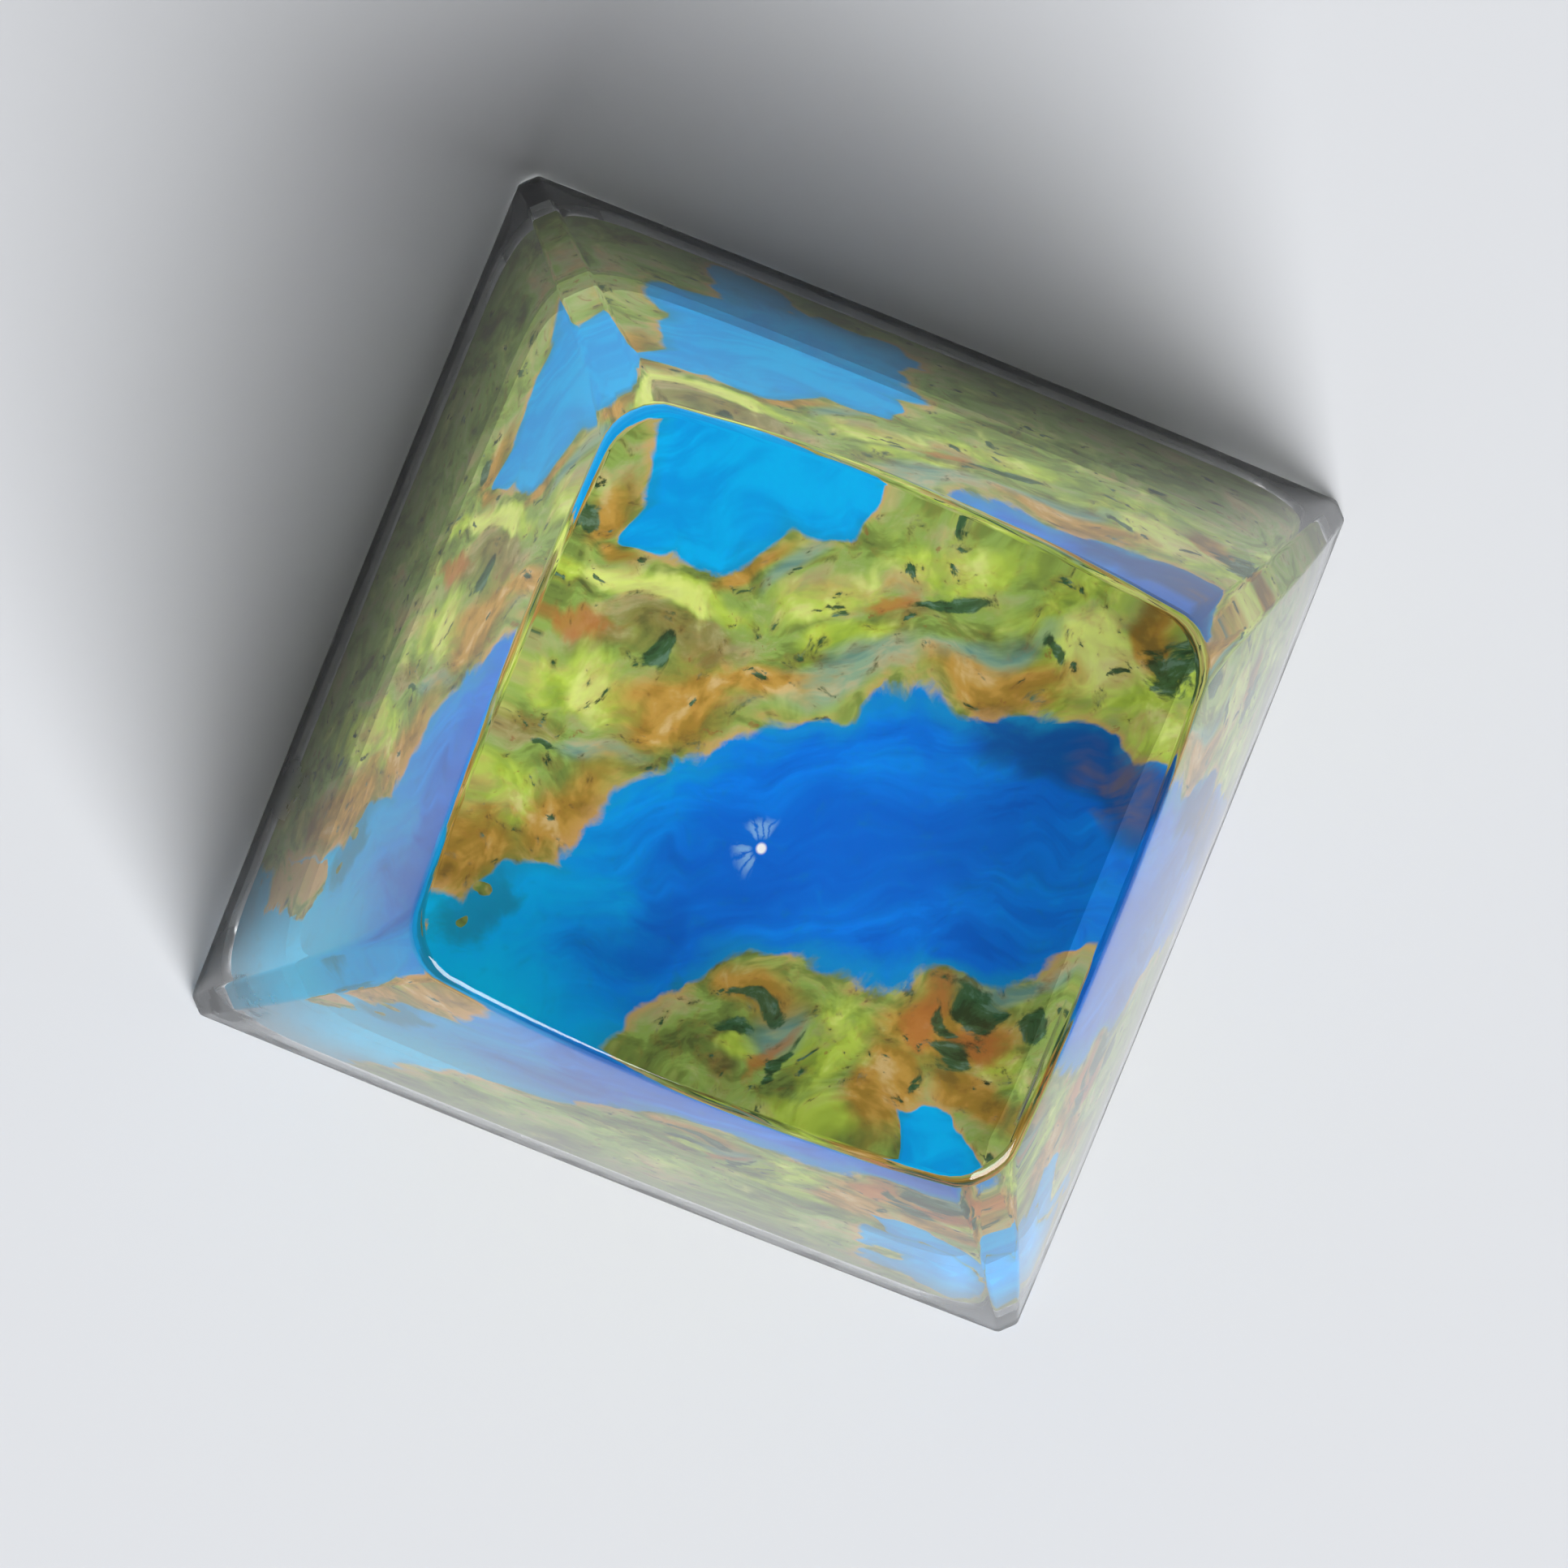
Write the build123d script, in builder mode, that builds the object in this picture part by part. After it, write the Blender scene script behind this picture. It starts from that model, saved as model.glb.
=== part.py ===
"""Artisan keycap: a tall clear resin cap cast over a marbled resin core with a cross-socket stem.

Millimetres, +Z up, origin at the middle of the base. +Y is the back of the key.
"""
import os

from build123d import *

os.makedirs("parts", exist_ok=True)

# Outside of the clear cap
CAP_WIDTH = 18.4            # across the base, left to right
CAP_DEPTH = 18.6            # across the base, front to back
CAP_HEIGHT = 13.0           # base to the corners of the top face
TOP_WIDTH = 12.5            # across the top of the taper, left to right
TOP_DEPTH = 11.7            # across the top of the taper, front to back
WALL_SWELL = 0.2            # how far each wall swells out at half its height
BASE_BOW = 0.05             # how far each side of the base bows outward in plan
TOP_BOW = 0.2               # the same at the top
BASE_CUT = 0.3              # flat cut across each corner, along a side, at the base
TOP_CUT = 0.66              # the same at the top
DISH_SAG = 0.9              # depth of the finger dish at its middle
DISH_TRIM = 0.4             # how far the taper runs on above the corners before the dish is cut
RIM_CHAMFER = 0.35          # bevel of the edge round the top face
FOOT_CHAMFER = 0.15         # sanded edge round the base

# Clear wall and the core behind it
CLEAR_WALL = 0.9            # clear resin outside the core
LAYER_HEIGHT = 5.0          # base to the marbled face
LAYER_CHAMFER = 0.4         # broken edge of the marbled face
CORE_FOOT = 0.8             # base to the core's lower edge, where only clear skirt is left
CORE_WALL = 0.7             # core that lines the hollow
CORE_ROOF = 0.8             # core above the hollow
CORE_CORNER = 1.6           # corner radius of the core
HOLLOW_CORNER = 0.8         # corner radius of the hollow
HOLLOW_CHAMFER = 0.3        # where the hollow's walls meet its roof

# Stem with its cross socket
STEM_RADIUS = 2.75
STEM_RECESS = 0.2           # stem end above the base
STEM_CHAMFER = 0.3          # where the stem meets the roof
CROSS_LENGTH = 4.1          # end to end of each arm
CROSS_WIDE_ARM = 1.35       # arm that runs left to right
CROSS_NARROW_ARM = 1.15     # arm that runs front to back
CROSS_DEPTH = 3.8
CROSS_LEAD_IN = 0.2         # chamfer at the socket's mouth

TAPER_HEIGHT = CAP_HEIGHT + DISH_TRIM
ROOF_HEIGHT = LAYER_HEIGHT - CORE_ROOF
DISH_RADIUS = ((TOP_WIDTH / 2) ** 2 + DISH_SAG**2) / (2 * DISH_SAG)
DISH_AXIS_HEIGHT = CAP_HEIGHT - DISH_SAG + DISH_RADIUS


def wall_offset(base_size, top_size, height):
    """Distance from the middle of the cap to the outside of a wall at a height."""
    share = height / TAPER_HEIGHT
    straight = base_size / 2 + (top_size - base_size) / 2 * share
    return straight + WALL_SWELL * 4 * share * (1 - share)


def cap_section(height, inset, shape_corners, corner):
    """Outline of the cap at a height, moved inward: four bowed sides with filleted or chamfered corners."""
    half_width = wall_offset(CAP_WIDTH, TOP_WIDTH, height) - inset
    half_depth = wall_offset(CAP_DEPTH, TOP_DEPTH, height) - inset
    bow = BASE_BOW + (TOP_BOW - BASE_BOW) * height / TAPER_HEIGHT
    x = half_width - bow
    y = half_depth - bow
    with BuildSketch(Plane.XY.offset(height)) as section:
        with BuildLine():
            ThreePointArc((-x, -y), (0, -half_depth), (x, -y))
            ThreePointArc((x, -y), (half_width, 0), (x, y))
            ThreePointArc((x, y), (0, half_depth), (-x, y))
            ThreePointArc((-x, y), (-half_width, 0), (-x, -y))
        make_face()
        shape_corners(section.vertices(), corner)
    return section.sketch


# Space that the core and the hollow under it take out of the clear resin
with BuildPart() as core_space:
    loft([cap_section(height, CLEAR_WALL, fillet, CORE_CORNER) for height in (0, LAYER_HEIGHT)])
    chamfer(core_space.faces().sort_by(Axis.Z)[-1].edges(), LAYER_CHAMFER)

# Clear cap: tapered and swelling walls with a flat cut down each corner, finger dish, bevelled rim
with BuildPart() as clear_cap:
    loft(
        [
            cap_section(0, 0, chamfer, BASE_CUT),
            cap_section(TAPER_HEIGHT / 2, 0, chamfer, (BASE_CUT + TOP_CUT) / 2),
            cap_section(TAPER_HEIGHT, 0, chamfer, TOP_CUT),
        ]
    )
    with Locations((0, 0, DISH_AXIS_HEIGHT)):
        Cylinder(DISH_RADIUS, CAP_DEPTH, rotation=(90, 0, 0), mode=Mode.SUBTRACT)
    dish = clear_cap.faces().filter_by(GeomType.CYLINDER).sort_by(Axis.Z)[-1]
    chamfer(dish.edges(), RIM_CHAMFER)
    chamfer(clear_cap.faces().sort_by(Axis.Z)[0].edges(), FOOT_CHAMFER)
    add(core_space.part, mode=Mode.SUBTRACT)
clear_cap.part.label = "clear_cap"
export_step(clear_cap.part, "parts/clear_cap.step")

# Marbled core: the poured face, its lining round the hollow and the stem
with BuildPart() as marbled_core:
    add(core_space.part)
    split(bisect_by=Plane.XY.offset(CORE_FOOT), keep=Keep.TOP)
    hollow_inset = CLEAR_WALL + CORE_WALL
    loft(
        [cap_section(height, hollow_inset, fillet, HOLLOW_CORNER) for height in (0, ROOF_HEIGHT)],
        mode=Mode.SUBTRACT,
    )
    roof = marbled_core.faces(Select.LAST).filter_by(Axis.Z).sort_by(Axis.Z)[-1]
    chamfer(roof.edges(), HOLLOW_CHAMFER)
    with BuildSketch(Plane.XY.offset(STEM_RECESS)):
        Circle(STEM_RADIUS)
    extrude(until=Until.NEXT)
    stem_root = marbled_core.edges(Select.LAST).filter_by(GeomType.CIRCLE).sort_by(Axis.Z)[-1]
    chamfer(stem_root, STEM_CHAMFER)
    with BuildSketch(Plane.XY.offset(STEM_RECESS)):
        Rectangle(CROSS_LENGTH, CROSS_WIDE_ARM)
        Rectangle(CROSS_NARROW_ARM, CROSS_LENGTH)
    extrude(amount=CROSS_DEPTH, mode=Mode.SUBTRACT)
    stem_end = marbled_core.faces().filter_by(Axis.Z).sort_by(Axis.Z)[0]
    chamfer(stem_end.inner_wires()[0].edges(), CROSS_LEAD_IN)
marbled_core.part.label = "marbled_core"
export_step(marbled_core.part, "parts/marbled_core.step")
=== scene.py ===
"""Artisan keycap: a tall clear resin cap cast over a marbled resin core.

Metres, +Z up, +Y the key's back. The clear cap is lofted through rings of points. The core keeps its
solid and gets poured marbling.
"""
import math

import bpy
from mathutils import Matrix, Vector


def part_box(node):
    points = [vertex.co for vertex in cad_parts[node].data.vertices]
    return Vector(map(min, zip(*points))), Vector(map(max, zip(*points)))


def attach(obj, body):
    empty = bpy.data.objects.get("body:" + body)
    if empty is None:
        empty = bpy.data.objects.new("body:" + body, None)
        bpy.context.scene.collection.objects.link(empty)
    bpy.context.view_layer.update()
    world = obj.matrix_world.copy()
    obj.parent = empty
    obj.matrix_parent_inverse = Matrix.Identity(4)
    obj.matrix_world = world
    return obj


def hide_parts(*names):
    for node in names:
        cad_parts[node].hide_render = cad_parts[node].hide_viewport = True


MM = 0.001

# Outside of the clear cap
CAP_WIDTH = 18.4 * MM
CAP_DEPTH = 18.6 * MM
CAP_HEIGHT = 13.0 * MM
TOP_WIDTH = 12.5 * MM
TOP_DEPTH = 11.7 * MM
TAPER_HEIGHT = CAP_HEIGHT + 0.4 * MM
WALL_SWELL = 0.2 * MM
BASE_BOW = 0.05 * MM
TOP_BOW = 0.2 * MM
BASE_CUT = 0.3 * MM         # flat cut across each corner, measured along a side, at the base
TOP_CUT = 0.66 * MM         # the same at the top
RIDGE_RADIUS = 0.15 * MM    # rounding of the two ridges of a corner cut, at the base
RIDGE_GROWTH = 1.15 * MM    # how much rounder they get up to the top, into one round corner
DISH_SAG = 0.9 * MM
DISH_RADIUS = ((TOP_WIDTH / 2) ** 2 + DISH_SAG**2) / (2 * DISH_SAG)
FACE_INSET = 0.15 * MM      # crisp edge of the top face, in from where the wall would meet the dish
FACE_CORNER = 1.1 * MM      # corner radius of the top face
FACE_EDGE = 0.035 * MM      # tiny bevel of that edge
RIM_KNEE = 0.06 * MM        # how the rim bends: its knee and its lower end, down the wall
RIM_DROP = 0.28 * MM
FOOT_CHAMFER = 0.15 * MM

# Pocket that the core fills
CLEAR_WALL = 0.9 * MM
CORE_FOOT = 0.8 * MM
CORE_CORNER = 1.6 * MM
LAYER_CHAMFER = 0.4 * MM
BOND = 0.04 * MM            # how far the resin runs into the core, so that no air shows between them

# Points of each ring and rows between rings
SIDE_STEPS = 16
RIDGE_STEPS = 4
CORNER_STEPS = 2 * RIDGE_STEPS + 2
WALL_ROWS = 22
RIM_ROWS = 6
SETTLE_ROUNDS = 5           # tries that bring a point onto the dish
SMOOTH_LIMIT = math.radians(32)

# Camera: it stands where the photograph was taken and is aimed at the cap
CAMERA_PLACE = Vector((-16.1, 6.5, 199.8)) * MM
AIM = Vector((0.0, -0.2, 6.0)) * MM
KEY_TURN = math.radians(22.1)   # clockwise turn of the key in the picture
SENSOR = 36.0
LENS = 225.0

# Floor, lamp and world
FLOOR_SIZE = 2.0
LAMP_PLACE = Vector((0.85, -0.95, 1.1))
LAMP_SIZE = 1.2
LAMP_POWER = 53.75
CEILING_START = 0.82        # above this sine of the elevation is the ceiling
ROOM_END = 0.5              # below this one are the room's sides, with a soft step between the two
CEILING_GLOW = 0.05
ROOM_GLOW = 0.22

# Resin
RESIN_IOR = 1.5
RESIN_PASS = 0.57           # share of a dark colour's light that comes out through the clear resin
RESIN_BOUNCE = 0.12         # what a full bright colour adds to it, by light thrown back and forth
POLISHED = 0.01             # roughness of the polished resin
SCRATCHED = 0.05            # what a fine scratch adds
SANDED = 0.3                # what sanding and scuffs add


def paint(red, green, blue):
    """A colour as it looks on a screen, 0 to 255, as the linear colour that shaders take."""
    def linear(level):
        share = level / 255
        return share / 12.92 if share <= 0.04045 else ((share + 0.055) / 1.055) ** 2.4

    return (linear(red), linear(green), linear(blue), 1.0)


def under_resin(red, green, blue):
    """The colour to pour so that it looks like this one through the clear resin over it."""
    shown = paint(red, green, blue)[:3]
    poured = [min(1.0, level / (RESIN_PASS + RESIN_BOUNCE * level)) for level in shown]
    return (*poured, 1.0)


# Rings of points

def wall_offset(base_size, top_size, height):
    """Distance from the middle of the cap to the outside of a wall at a height."""
    share = height / TAPER_HEIGHT
    straight = base_size / 2 + (top_size - base_size) / 2 * share
    return straight + WALL_SWELL * 4 * share * (1 - share)


def ring_points(height, inset, cut, ridge):
    """Outline at a height, moved inward: bowed sides and cut corners, from the right side on."""
    bow = BASE_BOW + (TOP_BOW - BASE_BOW) * height / TAPER_HEIGHT
    reach_x = wall_offset(CAP_WIDTH, TOP_WIDTH, height) - inset - bow
    reach_y = wall_offset(CAP_DEPTH, TOP_DEPTH, height) - inset - bow
    tangent = ridge * math.tan(math.pi / 8)
    points = []
    for quarter in range(4):
        out, side = (reach_x, reach_y) if quarter % 2 == 0 else (reach_y, reach_x)
        turn = Matrix.Rotation(quarter * math.pi / 2, 2)
        straight = side - cut - tangent
        steps = [2 * step / SIDE_STEPS - 1 for step in range(SIDE_STEPS)]
        quarter_points = [Vector((out, straight * step)) for step in steps]
        first = Vector((out - ridge, straight))
        second = Vector((out - cut - tangent, side - ridge))
        bends = [step / RIDGE_STEPS * math.pi / 4 for step in range(RIDGE_STEPS + 1)]
        turned = [Vector((math.cos(bend), math.sin(bend))) * ridge for bend in bends]
        first_arc = [first + offset for offset in turned]
        second_arc = [second + offset.yx for offset in reversed(turned)]
        quarter_points += first_arc
        quarter_points.append((first_arc[-1] + second_arc[0]) / 2)
        quarter_points += second_arc[:-1]
        points += [turn @ point for point in quarter_points]
    for point in points:
        out_x = math.copysign(bow * max(0.0, 1 - (point.y / reach_y) ** 2), point.x)
        out_y = math.copysign(bow * max(0.0, 1 - (point.x / reach_x) ** 2), point.y)
        point += Vector((out_x, out_y))
    return [Vector((point.x, point.y, height)) for point in points]


def round_ring(height, inset, corner):
    """The same outline with plain round corners."""
    return ring_points(height, inset, corner * math.tan(math.pi / 8) * math.sqrt(2), corner)


def outside_ring(height):
    """Outside of the cap at a height."""
    share = height / TAPER_HEIGHT
    cut = BASE_CUT + (TOP_CUT - BASE_CUT) * share
    return ring_points(height, 0, cut, RIDGE_RADIUS + RIDGE_GROWTH * share**6)


def dish_height(x):
    """Height of the finger dish at a distance to the side."""
    return CAP_HEIGHT - DISH_SAG + DISH_RADIUS - math.sqrt(DISH_RADIUS**2 - x**2)


def settle(ring_at, column):
    """The point of a column of rings that lies on the dish."""
    height = CAP_HEIGHT
    for _ in range(SETTLE_ROUNDS):
        height = dish_height(ring_at(height)[column].x)
    return ring_at(height)[column]


def rim_curves(count):
    """For each column, the points from the crisp edge of the top face over the rim to the wall."""
    curves = []
    for column in range(count):
        edge = settle(lambda height: round_ring(height, FACE_INSET, FACE_CORNER), column)
        meeting = settle(outside_ring, column)
        down = (outside_ring(meeting.z - MM)[column] - meeting).normalized()
        knee = meeting + down * RIM_KNEE
        end = meeting + down * RIM_DROP
        shares = [row / RIM_ROWS for row in range(RIM_ROWS + 1)]
        curves.append([edge.lerp(knee, t).lerp(knee.lerp(end, t), t) for t in shares])
    return curves


def cap_rings(layer_height):
    """Rings of the clear cap, from the dish's edge over the rim, down the wall and up the pocket."""
    count = 4 * (SIDE_STEPS + CORNER_STEPS)
    curves = rim_curves(count)
    rings = [[curve[row] for curve in curves] for row in range(RIM_ROWS + 1)]
    for row in range(WALL_ROWS - 1, -1, -1):
        ring = []
        for column, curve in enumerate(curves):
            height = FOOT_CHAMFER + (curve[-1].z - FOOT_CHAMFER) * row / WALL_ROWS
            ring.append(outside_ring(height)[column])
        rings.append(ring)
    rings.append(ring_points(0, FOOT_CHAMFER, BASE_CUT, RIDGE_RADIUS))
    mouth = round_ring(0, CLEAR_WALL, CORE_CORNER)
    bonded_mouth = round_ring(0, CLEAR_WALL + BOND, CORE_CORNER)
    bonded_top = round_ring(layer_height, CLEAR_WALL + BOND, CORE_CORNER)
    top = round_ring(layer_height, CLEAR_WALL, CORE_CORNER)

    def between(low_ring, high_ring, height):
        return [low.lerp(high, height / layer_height) for low, high in zip(low_ring, high_ring)]

    rings.append(mouth)
    rings.append(between(mouth, top, CORE_FOOT / 2))
    rings.append(between(mouth, top, CORE_FOOT))
    rings.append(between(bonded_mouth, bonded_top, CORE_FOOT + BOND))
    rings.append(between(bonded_mouth, bonded_top, layer_height - LAYER_CHAMFER - BOND))
    roof = round_ring(layer_height, CLEAR_WALL + LAYER_CHAMFER + BOND, CORE_CORNER - LAYER_CHAMFER)
    rings.append([point - Vector((0, 0, BOND)) for point in roof])
    return rings


# Pieces

def only_select(*objects):
    """Selects these objects and no others."""
    bpy.ops.object.select_all(action="DESELECT")
    for each in objects:
        each.select_set(True)
    bpy.context.view_layer.objects.active = objects[0]


def select_rings(mesh_object, count, *indices):
    """In edit mode, selects some rings, whose points come one ring after the other."""
    bpy.ops.mesh.select_all(action="DESELECT")
    bpy.ops.object.mode_set(mode="OBJECT")
    for index in indices:
        for point in range(index * count, (index + 1) * count):
            mesh_object.data.vertices[point].select = True
    bpy.ops.object.mode_set(mode="EDIT")


def make_clear_cap(layer_height):
    """The clear cap as one closed skin: rings bridged in turn, dish and pocket's roof filled."""
    rings = cap_rings(layer_height)
    count = len(rings[0])
    circles = []
    for ring in rings:
        bpy.ops.object.select_all(action="DESELECT")
        bpy.ops.mesh.primitive_circle_add(vertices=count, radius=CAP_WIDTH / 2)
        circle = bpy.context.object
        for vertex, point in zip(circle.data.vertices, ring):
            vertex.co = point
        circles.append(circle)
    only_select(*circles)
    bpy.ops.object.join()
    cap = bpy.context.object
    cap.name = "clear_resin_cap"
    bpy.ops.object.mode_set(mode="EDIT")
    bpy.ops.mesh.select_mode(type="VERT")
    for index in range(len(rings) - 1):
        select_rings(cap, count, index, index + 1)
        bpy.ops.mesh.bridge_edge_loops()
    select_rings(cap, count, len(rings) - 1)
    bpy.ops.mesh.edge_face_add()
    select_rings(cap, count, 0)
    bpy.ops.mesh.fill_grid(span=SIDE_STEPS + CORNER_STEPS, offset=CORNER_STEPS // 2)
    bpy.ops.object.mode_set(mode="OBJECT")
    for vertex in cap.data.vertices[len(rings) * count:]:
        vertex.co.z = dish_height(vertex.co.x)
    bpy.ops.object.mode_set(mode="EDIT")
    bpy.ops.mesh.select_all(action="SELECT")
    bpy.ops.mesh.normals_make_consistent(inside=False)
    select_rings(cap, count, 0)
    bpy.ops.mesh.bevel(offset=FACE_EDGE, segments=2, affect="EDGES")
    bpy.ops.object.mode_set(mode="OBJECT")
    bpy.ops.object.shade_smooth_by_angle(angle=SMOOTH_LIMIT)
    weigh = cap.modifiers.new("weigh_normals", "WEIGHTED_NORMAL")
    weigh.keep_sharp = True
    bpy.ops.object.modifier_apply(modifier=weigh.name)
    return cap


# Materials

EDGE = 0.3                  # a soft ellipse counts 1 in its middle, this at its edge, 0 well outside
ALL_DEPTHS = 1000           # reach in height of a soft ellipse, so that it is the same at all depths
MIX_SHARE = 0               # sockets of a Mix node that mixes colours
MIX_FIRST = 6
MIX_SECOND = 7
MIX_RESULT = 2


class Finish:
    """One material and short ways to add its nodes."""

    def __init__(self, name):
        self.material = bpy.data.materials.new(name)
        self.material.use_nodes = True
        self.nodes = self.material.node_tree.nodes
        self.links = self.material.node_tree.links
        self.shader = self.nodes["Principled BSDF"]

    def set(self, socket, value):
        """Links a socket to another one, or gives it a value."""
        if isinstance(value, bpy.types.NodeSocket):
            self.links.new(value, socket)
        else:
            socket.default_value = value

    def add(self, kind, values=(), **settings):
        """A new node with values on its inputs and settings of its own."""
        node = self.nodes.new(kind)
        for name, setting in settings.items():
            setattr(node, name, setting)
        for key, value in dict(values).items():
            self.set(node.inputs[key], value)
        return node

    def math(self, operation, *values):
        return self.add("ShaderNodeMath", enumerate(values), operation=operation).outputs[0]

    def vector(self, operation, *values):
        return self.add("ShaderNodeVectorMath", enumerate(values), operation=operation).outputs[0]

    def millimetres(self):
        """The place on the piece, in mm."""
        place = self.add("ShaderNodeTexCoord").outputs["Object"]
        values = {0: place, "Scale": 1 / MM}
        return self.add("ShaderNodeVectorMath", values, operation="SCALE").outputs[0]

    def noise(self, place, scale, detail=2.0, roughness=0.5, output="Fac"):
        values = {"Vector": place, "Scale": scale, "Detail": detail, "Roughness": roughness}
        return self.add("ShaderNodeTexNoise", values).outputs[output]

    def drawn_out(self, place, along, across, turn, detail, roughness=0.5):
        """A noise drawn out along one direction, with its lengths along and across in mm."""
        values = {"Vector": place, "Scale": 1.0, "Detail": detail, "Roughness": roughness}
        node = self.add("ShaderNodeTexNoise", values)
        node.texture_mapping.vector_type = "TEXTURE"
        node.texture_mapping.rotation = (0, 0, math.radians(turn))
        node.texture_mapping.scale = (along, across, along)
        return node.outputs["Fac"]

    def soft_ellipses(self, place, shapes, join="MAXIMUM", blend=0.1):
        """How much each place belongs to several soft ellipses."""
        reach = 1 / (1 - EDGE)
        field = None
        for x, y, along, across, turn in shapes:
            node = self.add("ShaderNodeTexGradient", {"Vector": place}, gradient_type="SPHERICAL")
            node.texture_mapping.vector_type = "TEXTURE"
            node.texture_mapping.translation = (x, y, 0)
            node.texture_mapping.rotation = (0, 0, math.radians(turn))
            node.texture_mapping.scale = (along * reach, across * reach, ALL_DEPTHS)
            inside = node.outputs["Fac"]
            field = inside if field is None else self.math(join, field, inside, blend)
        return field

    def fade(self, value, start, end):
        """0 up to start, 1 from end on, with a soft step between."""
        values = {"Value": value, "From Min": start, "From Max": end}
        return self.add("ShaderNodeMapRange", values, interpolation_type="SMOOTHSTEP").outputs[0]

    def both(self, first, second, share):
        """Two noises added, the second with a share."""
        return self.math("MULTIPLY_ADD", second, share, self.math("MULTIPLY", first, 1 - share))

    def times(self, first, second):
        return self.math("MULTIPLY", first, second)

    def mix(self, share, first, second):
        values = {MIX_SHARE: share, MIX_FIRST: first, MIX_SECOND: second}
        return self.add("ShaderNodeMix", values, data_type="RGBA").outputs[MIX_RESULT]

    def ramp(self, value, *stops):
        """Colours under the resin, each at its position along a value."""
        node = self.add("ShaderNodeValToRGB", {0: value})
        node.color_ramp.interpolation = "EASE"
        elements = node.color_ramp.elements
        while len(elements) < len(stops):
            elements.new(0.5)
        for element, (position, colour) in zip(elements, stops):
            element.position = position
            element.color = under_resin(*colour)
        return node.outputs[0]


# Pools and patches of the marbling, seen from above:
# x, y, reach along and reach across in mm, and turn in degrees
SEA = (
    (-6.0, -6.6, 2.6, 1.9, 40),
    (-3.6, -4.9, 2.6, 1.9, 45),
    (-1.6, -2.4, 2.9, 2.1, 50),
    (0.6, -1.0, 2.9, 2.4, 30),
    (2.6, -0.4, 2.8, 3.0, 0),
    (4.6, 0.5, 2.6, 2.8, 0),
    (6.6, 0.2, 2.2, 1.2, 10),
    (5.4, 2.3, 1.5, 1.0, 0),
    (7.2, 1.9, 1.6, 1.0, -15),
    (4.9, -1.7, 1.3, 0.8, 25),
)
POOLS = (
    (-3.9, 5.4, 1.75, 2.4, -20),
    (-5.0, 3.7, 0.65, 0.7, 0),
    (-1.8, 5.6, 1.35, 1.1, 15),
    (-3.2, 7.0, 3.0, 1.2, 0),
    (5.5, -5.55, 0.75, 0.6, 80),
    (6.3, -5.65, 1.5, 0.42, -14),
    (6.3, -6.95, 1.7, 0.85, 0),
)
DEEPS = (
    (1.6, -1.0, 3.4, 1.2, 22),
    (-1.6, -3.7, 1.6, 0.5, 45),
)
MURK = (
    (4.9, 2.7, 1.9, 0.9, 5),
    (6.9, 2.2, 1.6, 0.7, -30),
)
RUST = (
    (4.85, -3.45, 0.34, 0.7, 10),
    (5.9, -3.3, 0.5, 0.4, 30),
    (1.75, -5.3, 0.2, 0.6, -15),
    (-5.9, 1.1, 1.1, 0.16, 10),
    (0.5, 4.0, 0.6, 0.2, 40),
)
WISPS = (
    (6.1, 2.2, 1.0, 0.4, -50),
    (6.9, 2.3, 0.9, 0.6, -60),
)
TEAL = (
    (-5.4, -4.6, 1.1, 0.5, 40),
    (-0.9, -4.7, 0.3, 0.5, 0),
)
ISLETS = (
    (-7.1, -5.7, 0.9, 0.5, 25),
    (-5.95, -4.1, 0.5, 0.16, 35),
    (-5.4, -4.35, 0.2, 0.12, 0),
    (-5.7, -4.9, 0.16, 0.1, 30),
    (0.85, 2.1, 0.16, 0.12, 30),
    (-1.35, 1.05, 0.4, 0.1, 30),
)
LIME = (
    (-5.2, 0.2, 1.3, 0.6, 5),
    (-6.5, -2.6, 1.3, 0.7, 0),
    (-6.7, 1.9, 0.6, 0.35, 20),
    (-3.9, 2.5, 2.0, 0.32, 12),
    (-0.6, 3.8, 1.0, 0.42, 22),
    (-0.1, 3.0, 0.9, 0.3, 25),
    (1.8, 5.2, 1.5, 0.55, 15),
    (5.3, 4.6, 2.2, 1.4, 10),
    (6.8, 3.7, 1.6, 0.8, -5),
    (3.0, -4.75, 0.85, 0.9, 0),
    (1.15, -5.3, 0.4, 0.35, 0),
    (6.6, -3.65, 0.5, 0.42, 0),
    (3.3, -6.1, 0.9, 0.3, 10),
)
PALE = (
    (4.9, 4.6, 1.0, 0.85, 20),
    (-4.4, 2.35, 1.2, 0.25, 8),
    (-5.0, 0.2, 0.5, 0.3, 0),
)
OCHRE = (
    (-2.9, 0.5, 1.3, 0.9, 45),
    (-1.5, 1.6, 1.2, 0.35, 30),
    (-4.4, -2.2, 1.5, 0.6, 55),
    (-6.3, -3.9, 1.7, 0.7, 25),
    (3.2, 3.45, 1.5, 0.5, 15),
    (0.8, -4.1, 1.1, 0.45, -8),
    (4.5, -4.9, 1.4, 0.55, 80),
    (5.2, -3.5, 1.5, 0.8, 25),
    (6.5, -4.5, 1.2, 0.42, -10),
    (6.2, 5.3, 0.35, 0.6, 20),
    (-6.1, 3.7, 0.7, 0.4, 80),
    (-5.55, 2.9, 0.45, 0.25, -30),
    (-2.75, 3.65, 0.9, 0.22, 48),
)
BROWN = (
    (-3.6, 1.8, 1.6, 0.4, 12),
    (-5.1, 1.15, 0.9, 0.2, 15),
    (0.6, 3.2, 0.7, 0.4, 40),
    (1.0, 4.0, 0.6, 0.3, 40),
    (0.9, -5.9, 0.4, 0.3, 0),
    (-6.0, -1.0, 0.9, 0.35, 20),
    (5.3, -3.2, 0.7, 0.4, -40),
)
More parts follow.
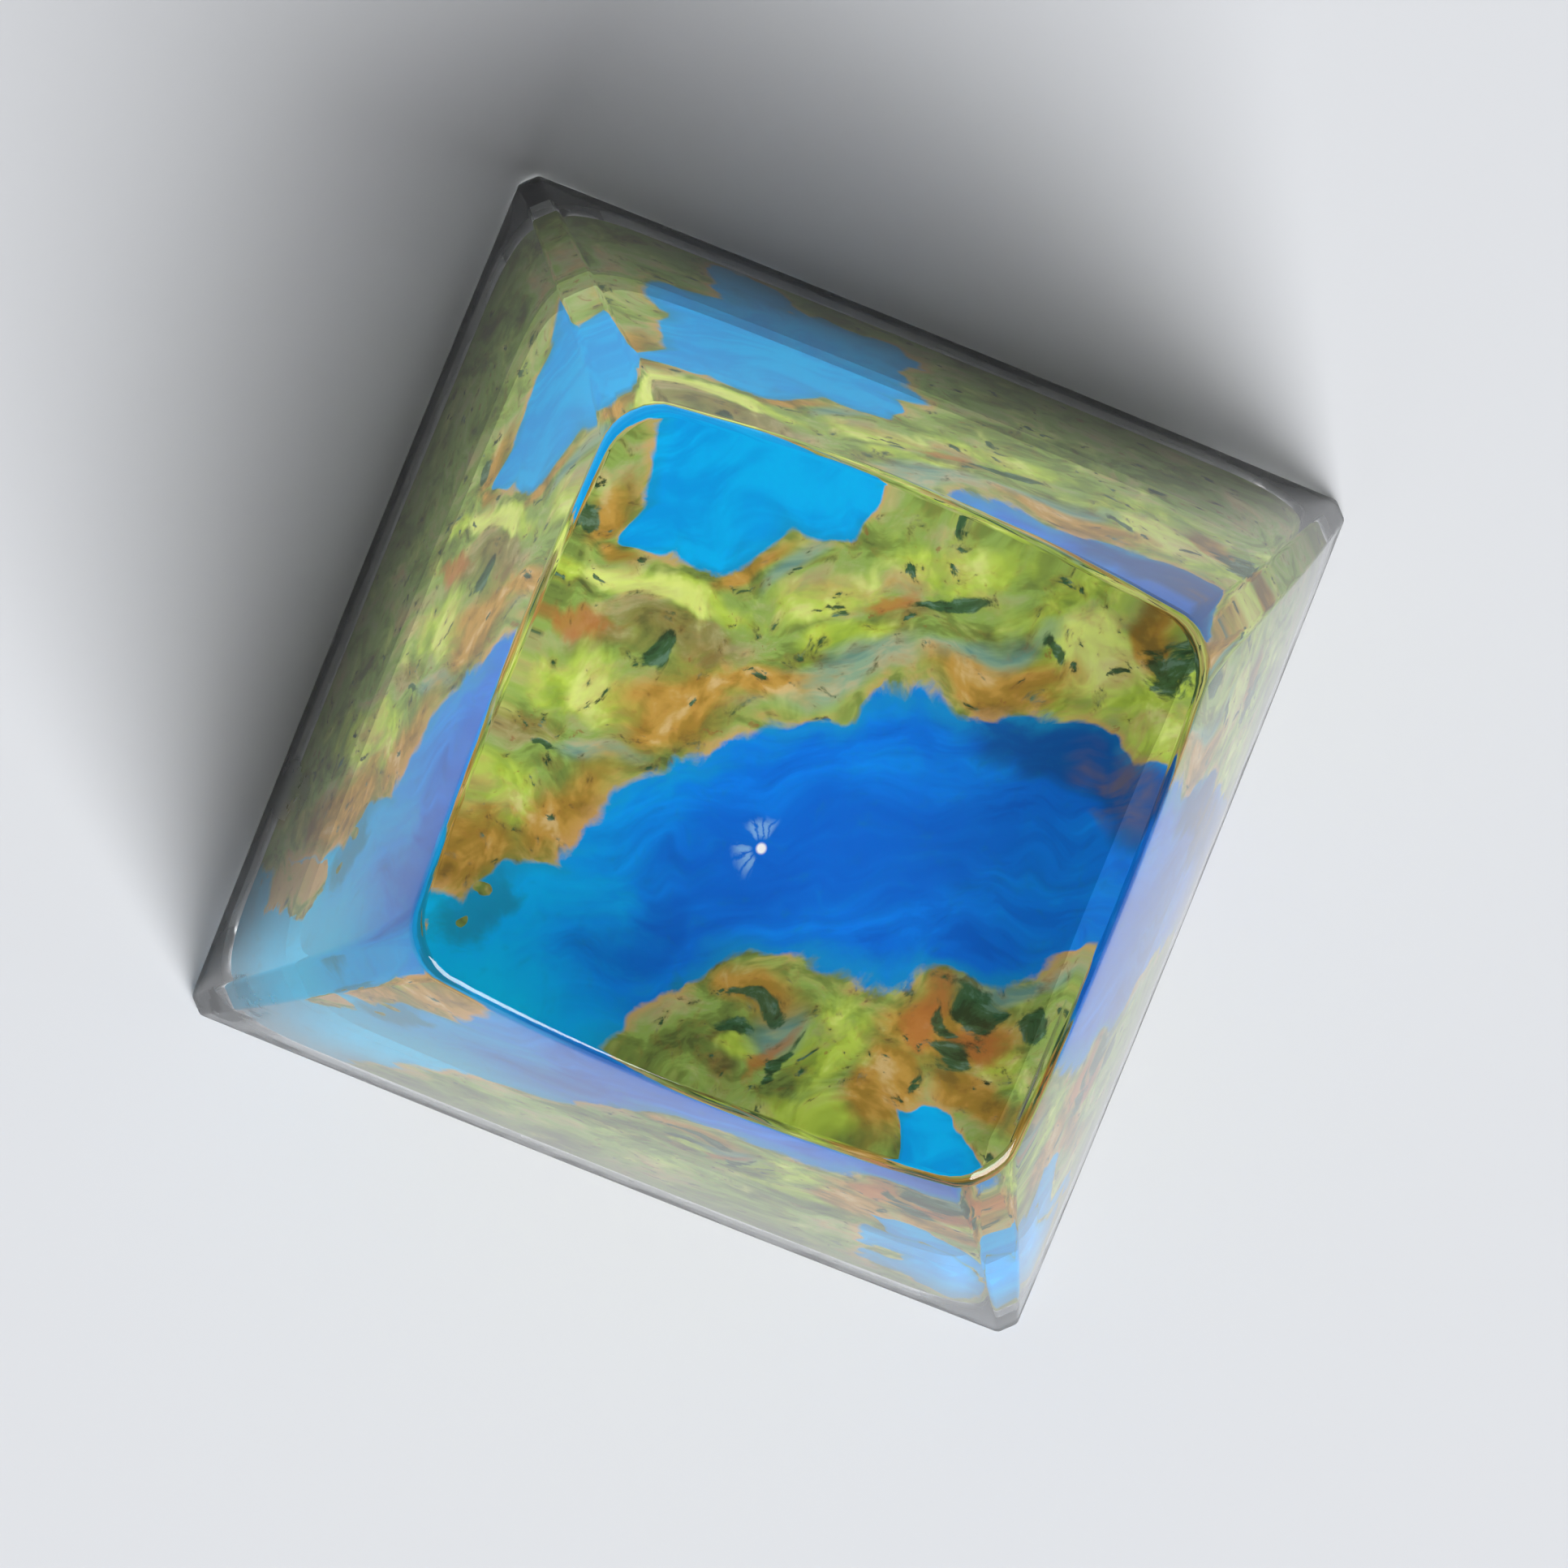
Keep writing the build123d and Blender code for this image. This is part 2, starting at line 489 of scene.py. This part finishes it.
MIST = (
    (0.1, 2.4, 1.5, 0.42, 35),
    (2.6, 3.9, 1.4, 0.3, 30),
    (-1.85, 4.05, 0.6, 0.25, 70),
    (-4.2, -0.9, 0.9, 0.2, 15),
    (1.6, -4.7, 0.5, 0.5, 0),
    (6.2, -2.0, 1.4, 0.2, 28),
)
DARK = (
    (1.6, 4.5, 0.7, 0.14, 25),
    (3.9, 4.3, 0.35, 0.14, -20),
    (-4.0, 1.33, 0.3, 0.2, 20),
    (-5.4, -1.25, 0.4, 0.15, 10),
    (5.5, -2.7, 0.5, 0.32, -10),
    (5.15, -3.25, 0.45, 0.14, -20),
    (5.6, -3.75, 0.25, 0.4, 0),
    (6.8, -2.6, 0.4, 0.25, 0),
    (6.7, 4.9, 0.6, 0.5, 20),
    (1.2, -4.35, 0.5, 0.14, -12),
    (0.9, -4.9, 0.4, 0.14, 15),
    (2.1, -5.3, 0.12, 0.6, 0),
    (-6.45, 3.55, 0.2, 0.25, 0),
)
SCUFFS = (
    (-8.9, -4.2, 0.5, 0.9, 0),
    (-8.4, -8.5, 1.3, 0.8, 45),
)
BUBBLE_GLINT = (-0.1, -1.5, 0)      # painted glint of a bubble in the sea, with two fans of pale leaves beside it
FANS = ((-0.4, 0.9, 0), (-0.7, -0.75, 0))
POUR = 24                   # direction in which the resin was poured, in degrees


class Marbling(Finish):
    """Poured resin: a sea and pools in olive land, with lime, ochre, milky and dark resin in it."""

    def __init__(self):
        super().__init__("marbled_resin")
        self.place = self.millimetres()
        drift = self.push(self.place, scale=0.4, reach=1.2, detail=0.0)
        self.worn = self.push(drift, scale=1.2, reach=0.75, detail=0.6)
        swirled = self.push(drift, scale=0.7, reach=1.3, detail=1.0)
        self.streak = self.drawn_out(swirled, 2.0, 0.9, POUR, detail=4.0, roughness=0.6)
        self.strand = self.drawn_out(swirled, 2.2, 0.26, POUR, detail=2.0, roughness=0.5)
        self.cloud = self.noise(swirled, scale=1.0, detail=3.0, roughness=0.55)
        self.grain = self.drawn_out(self.worn, 0.5, 0.26, POUR, detail=4.0, roughness=0.62)
        self.speck = self.drawn_out(self.worn, 0.46, 0.36, POUR, detail=4.0, roughness=0.58)

    def push(self, place, scale, reach, detail):
        """A place pushed about by a noise, up to about a quarter of the reach."""
        wave = self.noise(place, scale, detail, 0.55, "Color")
        wave = self.vector("SUBTRACT", wave, (0.5, 0.5, 0.5))
        return self.vector("MULTIPLY_ADD", wave, (reach, reach, 0.3 * reach), place)

    def worn_by(self, field, jag, wear):
        """A field whose edge is moved in and out by a noise."""
        return self.math("ADD", field, self.math("MULTIPLY_ADD", jag, wear, -0.5 * wear))

    def laid(self, under, colour, share, strength):
        """A colour laid over what is under it, by a share and up to a strength."""
        return self.mix(self.times(share, strength), under, colour)

    def patches(self, shapes, jag, wear):
        """Soft ellipses whose edges are worn by a noise."""
        return self.worn_by(self.soft_ellipses(self.worn, shapes), jag, wear)

    def poured(self, under, shapes, colour, jag, wear, soft, strength):
        """A colour laid over what is under it, in patches with a worn, soft edge."""
        field = self.patches(shapes, jag, wear)
        return self.laid(under, colour, self.fade(field, EDGE - soft, EDGE + soft), strength)

    def land(self):
        """Olive resin with brown, lime, milky, ochre, rusty and dark resin poured into it."""
        olive = self.ramp(
            self.both(self.streak, self.grain, 0.16),
            (0.34, (74, 84, 42)), (0.43, (99, 117, 53)), (0.51, (121, 147, 66)),
            (0.59, (138, 161, 94)), (0.68, (156, 168, 128)))
        brown = self.ramp(
            self.both(self.streak, self.grain, 0.4),
            (0.36, (82, 74, 40)), (0.5, (116, 106, 54)), (0.62, (144, 134, 90)))
        lime = self.ramp(
            self.both(self.cloud, self.grain, 0.12),
            (0.36, (116, 142, 46)), (0.46, (142, 166, 54)),
            (0.55, (162, 184, 66)), (0.66, (188, 202, 104)))
        milky = self.ramp(
            self.streak, (0.38, (84, 122, 114)), (0.5, (116, 144, 120)), (0.62, (156, 160, 130)))
        ochre = self.ramp(
            self.both(self.cloud, self.grain, 0.2),
            (0.36, (108, 86, 34)), (0.46, (138, 108, 40)),
            (0.55, (166, 128, 56)), (0.66, (184, 158, 104)))
        pale = under_resin(196, 206, 108)
        rust = under_resin(160, 92, 44)
        russet = under_resin(122, 76, 42)
        land = self.poured(olive, BROWN, brown, self.streak, wear=1.4, soft=0.35, strength=0.9)
        land = self.poured(land, LIME, lime, self.cloud, wear=1.2, soft=0.3, strength=0.97)
        land = self.poured(land, PALE, pale, self.cloud, wear=0.9, soft=0.28, strength=0.8)
        land = self.poured(land, MIST, milky, self.streak, wear=1.4, soft=0.4, strength=0.9)
        land = self.poured(land, OCHRE, ochre, self.streak, wear=1.6, soft=0.34, strength=1.0)
        dark = self.ramp(self.grain, (0.36, (24, 46, 28)), (0.52, (40, 74, 46)), (0.66, (72, 104, 86)))
        land = self.poured(land, RUST, rust, self.speck, wear=1.4, soft=0.35, strength=0.7)
        loose = self.math("MULTIPLY_ADD", self.cloud, 0.3, self.speck)
        land = self.laid(land, dark, self.fade(loose, 0.79, 0.85), strength=0.85)
        land = self.laid(land, russet, self.fade(loose, 0.48, 0.42), strength=0.6)
        return self.poured(land, DARK, dark, self.speck, wear=1.9, soft=0.16, strength=0.92)

    def water(self, sea, pools):
        """Blue resin, deep and murky in places, lighter to the left and front and in the pools."""
        level = self.both(self.streak, self.strand, 0.3)
        blue = self.ramp(
            level,
            (0.36, (0, 82, 176)), (0.46, (0, 92, 187)), (0.54, (0, 102, 197)), (0.64, (0, 118, 210)))
        deep = self.patches(DEEPS, self.streak, wear=1.0)
        blue = self.laid(blue, under_resin(0, 76, 168), self.fade(deep, 0.05, 0.6), strength=0.7)
        murk = self.patches(MURK, self.streak, wear=1.2)
        blue = self.laid(blue, under_resin(6, 58, 112), self.fade(murk, 0.0, 0.6), strength=0.75)
        parts = self.add("ShaderNodeSeparateXYZ", {0: self.worn}).outputs
        west = self.fade(self.worn_by(parts["X"], self.streak, wear=6.0), -0.8, -5.5)
        blue = self.laid(blue, under_resin(0, 152, 226), west, strength=0.95)
        edge = self.fade(self.math("MINIMUM", parts["X"], parts["Y"]), -4.9, -6.6)
        blue = self.laid(blue, under_resin(0, 166, 230), edge, strength=0.9)
        teal = under_resin(20, 104, 122)
        blue = self.poured(blue, TEAL, teal, self.speck, wear=0.9, soft=0.28, strength=0.65)
        pool_blue = self.ramp(level, (0.4, (0, 131, 200)), (0.6, (0, 151, 216)))
        return self.mix(self.fade(self.math("SUBTRACT", pools, sea), -0.05, 0.05), blue, pool_blue)

    def frost_and_glint(self, under):
        """A bubble's painted glint, a white dot that stands in for its highlight, and two fans of pale
        leaves that point at it.
        """
        offset = self.vector("SUBTRACT", self.place, BUBBLE_GLINT)
        parts = self.add("ShaderNodeSeparateXYZ", {0: offset}).outputs
        depth_squared = self.times(parts["Y"], parts["Y"])
        radius = self.math("SQRT", self.math("MULTIPLY_ADD", parts["X"], parts["X"], depth_squared))
        angle = self.math("ARCTAN2", parts["Y"], parts["X"])
        leaf = self.math("PINGPONG", self.math("MULTIPLY_ADD", self.speck, 1.0, angle), 0.2)
        flat = self.vector("NORMALIZE", self.vector("MULTIPLY", offset, (1, 1, 0)))
        facing = []
        for fan in FANS:
            node = self.add("ShaderNodeVectorMath", {0: flat, 1: fan}, operation="DOT_PRODUCT")
            facing.append(node.outputs["Value"])
        fans = self.fade(self.math("MAXIMUM", *facing), 0.72, 0.9)
        fans = self.times(fans, self.fade(leaf, 0.0, 0.12))
        fans = self.times(fans, self.fade(radius, 0.16, 0.3))
        fans = self.times(fans, self.fade(self.worn_by(radius, self.grain, wear=0.5), 0.72, 0.4))
        frosted = self.laid(under, under_resin(150, 196, 232), fans, strength=0.38)
        # Painted highlight: a white dot where the bubble is, standing in for its glint
        return self.mix(self.fade(radius, 0.14, 0.07), frosted, under_resin(232, 238, 242))

    def colour(self):
        """Land and water with their shores, the frost with a bubble's painted glint, and painted shade
        that darkens the core towards its bottom.
        """
        land = self.land()
        sea = self.soft_ellipses(self.worn, SEA, "SMOOTH_MAX")
        pools = self.soft_ellipses(self.worn, POOLS, "SMOOTH_MAX")
        water = self.water(sea, pools)
        depth = self.worn_by(self.math("MAXIMUM", sea, pools), self.speck, wear=0.14)
        beach = self.times(self.fade(depth, EDGE - 0.12, EDGE), 0.7)
        beach = self.times(beach, self.fade(self.streak, 0.4, 0.56))
        land = self.mix(beach, land, under_resin(180, 138, 84))
        shore = self.times(self.fade(depth, EDGE + 0.2, EDGE), 0.7)
        shore = self.times(shore, self.fade(self.streak, 0.66, 0.4))
        water = self.mix(shore, water, under_resin(12, 126, 170))
        islets = self.patches(ISLETS, self.speck, wear=0.9)
        wet = self.fade(depth, EDGE - 0.025, EDGE + 0.03)
        wet = self.times(wet, self.fade(islets, EDGE + 0.06, EDGE - 0.06))
        colour = self.mix(wet, land, water)
        wisps = self.fade(self.soft_ellipses(self.worn, WISPS), EDGE - 0.2, EDGE + 0.4)
        wisps = self.times(wisps, self.fade(self.streak, 0.4, 0.62))
        colour = self.laid(colour, under_resin(104, 84, 62), wisps, strength=0.6)
        colour = self.frost_and_glint(colour)
        # Painted shade: the core's colour is darkened towards its bottom, where less light reaches its
        # sides
        foot = self.fade(self.add("ShaderNodeSeparateXYZ", {0: self.place}).outputs["Z"], 4.4, 0.8)
        return self.laid(colour, under_resin(64, 58, 42), foot, strength=0.55)


def marbled_resin():
    """The core's resin, whose own gloss is dulled where the clear resin is bonded to it."""
    finish = Marbling()
    finish.set(finish.shader.inputs["Base Color"], finish.colour())
    finish.set(finish.shader.inputs["Roughness"], 0.4)
    finish.set(finish.shader.inputs["Specular IOR Level"], 0.1)
    return finish.material


def clear_resin():
    """Polished resin, frosted by sanding along the foot, with a few scuffs and fine scratches."""
    finish = Finish("clear_resin")
    shader = finish.shader
    place = finish.millimetres()
    height = finish.add("ShaderNodeSeparateXYZ", {0: place}).outputs["Z"]
    blotch = finish.noise(place, scale=0.8, detail=3.0, roughness=0.6)
    scratch = finish.drawn_out(place, along=3.0, across=0.06, turn=35, detail=1.0)
    foot = finish.fade(finish.math("MULTIPLY_ADD", blotch, -2.4, height), 0.2, -0.9)
    scuff = finish.fade(finish.soft_ellipses(place, SCUFFS), 0.25, 0.6)
    scuff = finish.times(scuff, finish.fade(blotch, 0.38, 0.55))
    worn = finish.math("MAXIMUM", foot, scuff)
    scratched = finish.times(finish.fade(scratch, 0.66, 0.76), SCRATCHED)
    rough = finish.math("MULTIPLY_ADD", worn, SANDED, finish.math("ADD", scratched, POLISHED))
    finish.set(shader.inputs["Base Color"], (1.0, 1.0, 1.0, 1.0))
    finish.set(shader.inputs["Roughness"], rough)
    finish.set(shader.inputs["IOR"], RESIN_IOR)
    finish.set(shader.inputs["Transmission Weight"], 1.0)
    return finish.material


# Floor, light and camera

def make_floor():
    """A plain pale floor, which isn't part of the object."""
    bpy.ops.object.select_all(action="DESELECT")
    bpy.ops.mesh.primitive_plane_add(size=FLOOR_SIZE)
    floor = bpy.context.object
    floor.name = "studio_floor"
    finish = Finish("pale_floor")
    finish.set(finish.shader.inputs["Base Color"], paint(206, 208, 212))
    finish.set(finish.shader.inputs["Roughness"], 0.9)
    floor.data.materials.append(finish.material)


def add_lamp():
    """A large lamp at the front right, aimed at the cap."""
    data = bpy.data.lights.new("key_light", "AREA")
    data.size = LAMP_SIZE
    data.energy = LAMP_POWER
    lamp = bpy.data.objects.new("key_light", data)
    lamp.location = LAMP_PLACE
    lamp.rotation_mode = "QUATERNION"
    lamp.rotation_quaternion = (AIM - LAMP_PLACE).to_track_quat("-Z", "Y")
    bpy.context.scene.collection.objects.link(lamp)


def light_studio():
    """A dim room with a darker ceiling, which the finger dish mirrors."""
    world = bpy.data.worlds.new("studio")
    world.use_nodes = True
    nodes = world.node_tree.nodes
    links = world.node_tree.links
    height = nodes.new("ShaderNodeSeparateXYZ")
    links.new(nodes.new("ShaderNodeTexCoord").outputs["Generated"], height.inputs[0])
    glow = nodes.new("ShaderNodeMapRange")
    glow.interpolation_type = "SMOOTHSTEP"
    glow.inputs["From Min"].default_value = CEILING_START
    glow.inputs["From Max"].default_value = ROOM_END
    glow.inputs["To Min"].default_value = CEILING_GLOW
    glow.inputs["To Max"].default_value = ROOM_GLOW
    links.new(height.outputs["Z"], glow.inputs["Value"])
    links.new(glow.outputs[0], nodes["Background"].inputs["Strength"])
    nodes["Background"].inputs["Color"].default_value = (1.0, 1.0, 1.0, 1.0)
    bpy.context.scene.world = world
    add_lamp()


def place_camera():
    """The camera, with the key turned in the picture as it was photographed."""
    data = bpy.data.cameras.new("camera")
    data.sensor_width = SENSOR
    data.lens = LENS
    data.clip_start = MM
    camera = bpy.data.objects.new("camera", data)
    back = (CAMERA_PLACE - AIM).normalized()
    picture_up = Vector((-math.sin(KEY_TURN), math.cos(KEY_TURN), 0))
    right = picture_up.cross(back).normalized()
    up = back.cross(right)
    axes = Matrix((right, up, back)).transposed()
    camera.matrix_world = Matrix.Translation(CAMERA_PLACE) @ axes.to_4x4()
    bpy.context.scene.collection.objects.link(camera)
    bpy.context.scene.camera = camera


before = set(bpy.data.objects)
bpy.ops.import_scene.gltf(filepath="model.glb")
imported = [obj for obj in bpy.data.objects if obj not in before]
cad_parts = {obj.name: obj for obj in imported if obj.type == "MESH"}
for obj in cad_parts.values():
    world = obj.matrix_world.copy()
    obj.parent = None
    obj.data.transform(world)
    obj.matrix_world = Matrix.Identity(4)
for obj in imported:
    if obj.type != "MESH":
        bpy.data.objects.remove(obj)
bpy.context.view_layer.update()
layer_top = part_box("marbled_core")[1].z

cap = make_clear_cap(layer_top)
cap.data.materials.append(clear_resin())
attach(cap, "root")
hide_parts("clear_cap")

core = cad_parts["marbled_core"]
core.data.materials.clear()
core.data.materials.append(marbled_resin())

make_floor()
light_studio()
place_camera()
bpy.context.scene.view_settings.view_transform = "Standard"
